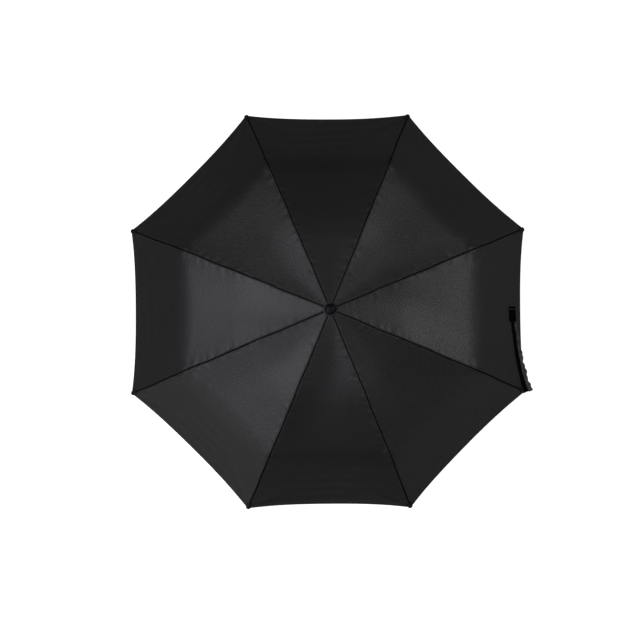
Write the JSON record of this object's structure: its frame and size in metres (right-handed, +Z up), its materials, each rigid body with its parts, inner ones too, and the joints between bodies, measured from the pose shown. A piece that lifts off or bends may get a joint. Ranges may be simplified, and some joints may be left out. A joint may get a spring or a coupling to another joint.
{
  "type": "folding umbrella",
  "caption": "Compact manual umbrella, shown open: ribbed fabric canopy, telescopic shaft, sliding runner, straight handle.",
  "frame": {"origin": "centre of the handle's bottom face, with the umbrella open", "axes": "+Z up the shaft to the cap; +X to the middle of the canopy panel that carries the closure strap"},
  "size_m": [0.896, 0.8954, 0.5966],
  "materials": {
    "canopy_fabric": "plain-woven pongee, dark grey-black, slight sheen",
    "tube_steel": "plated steel tube, satin",
    "rib_steel": "pressed and plated steel strip",
    "spring_wire": "black-coated spring-steel wire",
    "black_plastic": "moulded, satin",
    "grip_plastic": "soft-touch coating, matt",
    "button_plastic": "moulded, satin"
  },
  "bodies": {
    "handle": {"handle_grip": "grip_plastic", "handle_end_cap": "black_plastic", "lower_tube": "tube_steel"},
    "middle_shaft": {"middle_tube": "tube_steel"},
    "upper_shaft": {"upper_tube": "tube_steel", "crown": "black_plastic", "crown_wire": "rib_steel", "finial_cap": "black_plastic", "canopy_panel_1": "canopy_fabric", "canopy_panel_2": "canopy_fabric", "canopy_panel_3": "canopy_fabric", "canopy_panel_4": "canopy_fabric", "canopy_panel_5": "canopy_fabric", "canopy_panel_6": "canopy_fabric", "canopy_panel_7": "canopy_fabric", "canopy_panel_8": "canopy_fabric", "closure_strap": "canopy_fabric"},
    "runner": {"runner_body": "black_plastic", "runner_wire": "rib_steel"},
    "runner_button": {"runner_button": "button_plastic"},
    "top_rib_1": {"top_rib_1": "rib_steel"},
    "stretcher_1": {"stretcher_1": "rib_steel"},
    "middle_rib_1": {"middle_rib_1": "rib_steel"},
    "outer_rib_1": {"outer_rib_1": "spring_wire", "rib_tip_1": "black_plastic"},
    "top_rib_2": {"top_rib_2": "rib_steel"},
    "stretcher_2": {"stretcher_2": "rib_steel"},
    "middle_rib_2": {"middle_rib_2": "rib_steel"},
    "outer_rib_2": {"outer_rib_2": "spring_wire", "rib_tip_2": "black_plastic"},
    "top_rib_3": {"top_rib_3": "rib_steel"},
    "stretcher_3": {"stretcher_3": "rib_steel"},
    "middle_rib_3": {"middle_rib_3": "rib_steel"},
    "outer_rib_3": {"outer_rib_3": "spring_wire", "rib_tip_3": "black_plastic"},
    "top_rib_4": {"top_rib_4": "rib_steel"},
    "stretcher_4": {"stretcher_4": "rib_steel"},
    "middle_rib_4": {"middle_rib_4": "rib_steel"},
    "outer_rib_4": {"outer_rib_4": "spring_wire", "rib_tip_4": "black_plastic"},
    "top_rib_5": {"top_rib_5": "rib_steel"},
    "stretcher_5": {"stretcher_5": "rib_steel"},
    "middle_rib_5": {"middle_rib_5": "rib_steel"},
    "outer_rib_5": {"outer_rib_5": "spring_wire", "rib_tip_5": "black_plastic"},
    "top_rib_6": {"top_rib_6": "rib_steel"},
    "stretcher_6": {"stretcher_6": "rib_steel"},
    "middle_rib_6": {"middle_rib_6": "rib_steel"},
    "outer_rib_6": {"outer_rib_6": "spring_wire", "rib_tip_6": "black_plastic"},
    "top_rib_7": {"top_rib_7": "rib_steel"},
    "stretcher_7": {"stretcher_7": "rib_steel"},
    "middle_rib_7": {"middle_rib_7": "rib_steel"},
    "outer_rib_7": {"outer_rib_7": "spring_wire", "rib_tip_7": "black_plastic"},
    "top_rib_8": {"top_rib_8": "rib_steel"},
    "stretcher_8": {"stretcher_8": "rib_steel"},
    "middle_rib_8": {"middle_rib_8": "rib_steel"},
    "outer_rib_8": {"outer_rib_8": "spring_wire", "rib_tip_8": "black_plastic"}
  },
  "joints": [
    {"name": "middle_tube_slide", "type": "slide", "parent": "handle", "child": "middle_shaft", "axis": [0, 0, -1], "range_m": [0, 0.15]},
    {"name": "upper_tube_slide", "type": "slide", "parent": "middle_shaft", "child": "upper_shaft", "axis": [0, 0, -1], "range_m": [0, 0.15]},
    {"name": "runner_slide", "type": "slide", "parent": "upper_shaft", "child": "runner", "axis": [0, 0, -1], "range_m": [0, 0.12308], "deforming": ["canopy_panel_1", "canopy_panel_2", "canopy_panel_3", "canopy_panel_4", "canopy_panel_5", "canopy_panel_6", "canopy_panel_7", "canopy_panel_8", "closure_strap"]},
    {"name": "runner_button_press", "type": "slide", "parent": "runner", "child": "runner_button", "axis": [0, 1, 0], "range_m": [0, 0.002], "stiffness_N_per_m": 400, "springref_m": -0.002},
    {"name": "top_rib_1_pivot", "type": "hinge", "parent": "upper_shaft", "child": "top_rib_1", "pos_m": [0.00878, 0.00364, 0.577], "axis": [-0.3827, 0.9239, 0], "range_deg": [0, 80]},
    {"name": "stretcher_1_pivot", "type": "hinge", "parent": "top_rib_1", "child": "stretcher_1", "pos_m": [0.09066, 0.03755, 0.56137], "axis": [-0.3827, 0.9239, 0], "range_deg": [-137.7, 0]},
    {"name": "middle_rib_1_pivot", "type": "hinge", "parent": "top_rib_1", "child": "middle_rib_1", "pos_m": [0.17271, 0.07154, 0.54673], "axis": [-0.3827, 0.9239, 0], "range_deg": [-190.1, 0]},
    {"name": "outer_rib_1_pivot", "type": "hinge", "parent": "middle_rib_1", "child": "outer_rib_1", "pos_m": [0.31494, 0.13045, 0.48729], "axis": [-0.3827, 0.9239, 0], "range_deg": [0, 158.1]},
    {"name": "top_rib_2_pivot", "type": "hinge", "parent": "upper_shaft", "child": "top_rib_2", "pos_m": [0.00364, 0.00878, 0.577], "axis": [-0.9239, 0.3827, 0], "range_deg": [0, 80.1]},
    {"name": "stretcher_2_pivot", "type": "hinge", "parent": "top_rib_2", "child": "stretcher_2", "pos_m": [0.03755, 0.09066, 0.56137], "axis": [-0.9239, 0.3827, 0], "range_deg": [-137.7, 0]},
    {"name": "middle_rib_2_pivot", "type": "hinge", "parent": "top_rib_2", "child": "middle_rib_2", "pos_m": [0.07154, 0.17271, 0.54673], "axis": [-0.9239, 0.3827, 0], "range_deg": [-190.1, 0]},
    {"name": "outer_rib_2_pivot", "type": "hinge", "parent": "middle_rib_2", "child": "outer_rib_2", "pos_m": [0.13045, 0.31494, 0.48729], "axis": [-0.9239, 0.3827, 0], "range_deg": [0, 158.1]},
    {"name": "top_rib_3_pivot", "type": "hinge", "parent": "upper_shaft", "child": "top_rib_3", "pos_m": [-0.00364, 0.00878, 0.577], "axis": [-0.9239, -0.3827, 0], "range_deg": [0, 80.1]},
    {"name": "stretcher_3_pivot", "type": "hinge", "parent": "top_rib_3", "child": "stretcher_3", "pos_m": [-0.03755, 0.09066, 0.56137], "axis": [-0.9239, -0.3827, 0], "range_deg": [-137.7, 0]},
    {"name": "middle_rib_3_pivot", "type": "hinge", "parent": "top_rib_3", "child": "middle_rib_3", "pos_m": [-0.07154, 0.17271, 0.54673], "axis": [-0.9239, -0.3827, 0], "range_deg": [-190.1, 0]},
    {"name": "outer_rib_3_pivot", "type": "hinge", "parent": "middle_rib_3", "child": "outer_rib_3", "pos_m": [-0.13045, 0.31494, 0.48729], "axis": [-0.9239, -0.3827, 0], "range_deg": [0, 158.1]},
    {"name": "top_rib_4_pivot", "type": "hinge", "parent": "upper_shaft", "child": "top_rib_4", "pos_m": [-0.00878, 0.00364, 0.577], "axis": [-0.3827, -0.9239, 0], "range_deg": [0, 80.1]},
    {"name": "stretcher_4_pivot", "type": "hinge", "parent": "top_rib_4", "child": "stretcher_4", "pos_m": [-0.09066, 0.03755, 0.56137], "axis": [-0.3827, -0.9239, 0], "range_deg": [-137.7, 0]},
    {"name": "middle_rib_4_pivot", "type": "hinge", "parent": "top_rib_4", "child": "middle_rib_4", "pos_m": [-0.17271, 0.07154, 0.54673], "axis": [-0.3827, -0.9239, 0], "range_deg": [-190.1, 0]},
    {"name": "outer_rib_4_pivot", "type": "hinge", "parent": "middle_rib_4", "child": "outer_rib_4", "pos_m": [-0.31494, 0.13045, 0.48729], "axis": [-0.3827, -0.9239, 0], "range_deg": [0, 158.1]},
    {"name": "top_rib_5_pivot", "type": "hinge", "parent": "upper_shaft", "child": "top_rib_5", "pos_m": [-0.00878, -0.00364, 0.577], "axis": [0.3827, -0.9239, 0], "range_deg": [0, 80.1]},
    {"name": "stretcher_5_pivot", "type": "hinge", "parent": "top_rib_5", "child": "stretcher_5", "pos_m": [-0.09066, -0.03755, 0.56137], "axis": [0.3827, -0.9239, 0], "range_deg": [-137.7, 0]},
    {"name": "middle_rib_5_pivot", "type": "hinge", "parent": "top_rib_5", "child": "middle_rib_5", "pos_m": [-0.17271, -0.07154, 0.54673], "axis": [0.3827, -0.9239, 0], "range_deg": [-190.1, 0]},
    {"name": "outer_rib_5_pivot", "type": "hinge", "parent": "middle_rib_5", "child": "outer_rib_5", "pos_m": [-0.31494, -0.13045, 0.48729], "axis": [0.3827, -0.9239, 0], "range_deg": [0, 158.1]},
    {"name": "top_rib_6_pivot", "type": "hinge", "parent": "upper_shaft", "child": "top_rib_6", "pos_m": [-0.00364, -0.00878, 0.577], "axis": [0.9239, -0.3827, 0], "range_deg": [0, 80.1]},
    {"name": "stretcher_6_pivot", "type": "hinge", "parent": "top_rib_6", "child": "stretcher_6", "pos_m": [-0.03755, -0.09066, 0.56137], "axis": [0.9239, -0.3827, 0], "range_deg": [-137.7, 0]},
    {"name": "middle_rib_6_pivot", "type": "hinge", "parent": "top_rib_6", "child": "middle_rib_6", "pos_m": [-0.07154, -0.17271, 0.54673], "axis": [0.9239, -0.3827, 0], "range_deg": [-190.1, 0]},
    {"name": "outer_rib_6_pivot", "type": "hinge", "parent": "middle_rib_6", "child": "outer_rib_6", "pos_m": [-0.13045, -0.31494, 0.48729], "axis": [0.9239, -0.3827, 0], "range_deg": [0, 158.1]},
    {"name": "top_rib_7_pivot", "type": "hinge", "parent": "upper_shaft", "child": "top_rib_7", "pos_m": [0.00364, -0.00878, 0.577], "axis": [0.9239, 0.3827, 0], "range_deg": [0, 80.1]},
    {"name": "stretcher_7_pivot", "type": "hinge", "parent": "top_rib_7", "child": "stretcher_7", "pos_m": [0.03755, -0.09066, 0.56137], "axis": [0.9239, 0.3827, 0], "range_deg": [-137.7, 0]},
    {"name": "middle_rib_7_pivot", "type": "hinge", "parent": "top_rib_7", "child": "middle_rib_7", "pos_m": [0.07154, -0.17271, 0.54673], "axis": [0.9239, 0.3827, 0], "range_deg": [-190.1, 0]},
    {"name": "outer_rib_7_pivot", "type": "hinge", "parent": "middle_rib_7", "child": "outer_rib_7", "pos_m": [0.13045, -0.31494, 0.48729], "axis": [0.9239, 0.3827, 0], "range_deg": [0, 158.1]},
    {"name": "top_rib_8_pivot", "type": "hinge", "parent": "upper_shaft", "child": "top_rib_8", "pos_m": [0.00878, -0.00364, 0.577], "axis": [0.3827, 0.9239, 0], "range_deg": [0, 80.1]},
    {"name": "stretcher_8_pivot", "type": "hinge", "parent": "top_rib_8", "child": "stretcher_8", "pos_m": [0.09066, -0.03755, 0.56137], "axis": [0.3827, 0.9239, 0], "range_deg": [-137.7, 0]},
    {"name": "middle_rib_8_pivot", "type": "hinge", "parent": "top_rib_8", "child": "middle_rib_8", "pos_m": [0.17271, -0.07154, 0.54673], "axis": [0.3827, 0.9239, 0], "range_deg": [-190.1, 0]},
    {"name": "outer_rib_8_pivot", "type": "hinge", "parent": "middle_rib_8", "child": "outer_rib_8", "pos_m": [0.31494, -0.13045, 0.48729], "axis": [0.3827, 0.9239, 0], "range_deg": [0, 158.1]}
  ],
  "couplings": [
    {"joint": "runner_slide", "follows": "top_rib_1_pivot", "m_per_rad": 0.088149},
    {"joint": "stretcher_1_pivot", "follows": "top_rib_1_pivot", "ratio": -1.7197},
    {"joint": "middle_rib_1_pivot", "follows": "top_rib_1_pivot", "ratio": -2.375},
    {"joint": "outer_rib_1_pivot", "follows": "top_rib_1_pivot", "ratio": 1.975},
    {"joint": "top_rib_2_pivot", "follows": "top_rib_1_pivot", "ratio": 1},
    {"joint": "stretcher_2_pivot", "follows": "top_rib_1_pivot", "ratio": -1.7197},
    {"joint": "middle_rib_2_pivot", "follows": "top_rib_1_pivot", "ratio": -2.375},
    {"joint": "outer_rib_2_pivot", "follows": "top_rib_1_pivot", "ratio": 1.975},
    {"joint": "top_rib_3_pivot", "follows": "top_rib_1_pivot", "ratio": 1},
    {"joint": "stretcher_3_pivot", "follows": "top_rib_1_pivot", "ratio": -1.7197},
    {"joint": "middle_rib_3_pivot", "follows": "top_rib_1_pivot", "ratio": -2.375},
    {"joint": "outer_rib_3_pivot", "follows": "top_rib_1_pivot", "ratio": 1.975},
    {"joint": "top_rib_4_pivot", "follows": "top_rib_1_pivot", "ratio": 1},
    {"joint": "stretcher_4_pivot", "follows": "top_rib_1_pivot", "ratio": -1.7197},
    {"joint": "middle_rib_4_pivot", "follows": "top_rib_1_pivot", "ratio": -2.375},
    {"joint": "outer_rib_4_pivot", "follows": "top_rib_1_pivot", "ratio": 1.975},
    {"joint": "top_rib_5_pivot", "follows": "top_rib_1_pivot", "ratio": 1},
    {"joint": "stretcher_5_pivot", "follows": "top_rib_1_pivot", "ratio": -1.7197},
    {"joint": "middle_rib_5_pivot", "follows": "top_rib_1_pivot", "ratio": -2.375},
    {"joint": "outer_rib_5_pivot", "follows": "top_rib_1_pivot", "ratio": 1.975},
    {"joint": "top_rib_6_pivot", "follows": "top_rib_1_pivot", "ratio": 1},
    {"joint": "stretcher_6_pivot", "follows": "top_rib_1_pivot", "ratio": -1.7197},
    {"joint": "middle_rib_6_pivot", "follows": "top_rib_1_pivot", "ratio": -2.375},
    {"joint": "outer_rib_6_pivot", "follows": "top_rib_1_pivot", "ratio": 1.975},
    {"joint": "top_rib_7_pivot", "follows": "top_rib_1_pivot", "ratio": 1},
    {"joint": "stretcher_7_pivot", "follows": "top_rib_1_pivot", "ratio": -1.7197},
    {"joint": "middle_rib_7_pivot", "follows": "top_rib_1_pivot", "ratio": -2.375},
    {"joint": "outer_rib_7_pivot", "follows": "top_rib_1_pivot", "ratio": 1.975},
    {"joint": "top_rib_8_pivot", "follows": "top_rib_1_pivot", "ratio": 1},
    {"joint": "stretcher_8_pivot", "follows": "top_rib_1_pivot", "ratio": -1.7197},
    {"joint": "middle_rib_8_pivot", "follows": "top_rib_1_pivot", "ratio": -2.375},
    {"joint": "outer_rib_8_pivot", "follows": "top_rib_1_pivot", "ratio": 1.975}
  ]
}
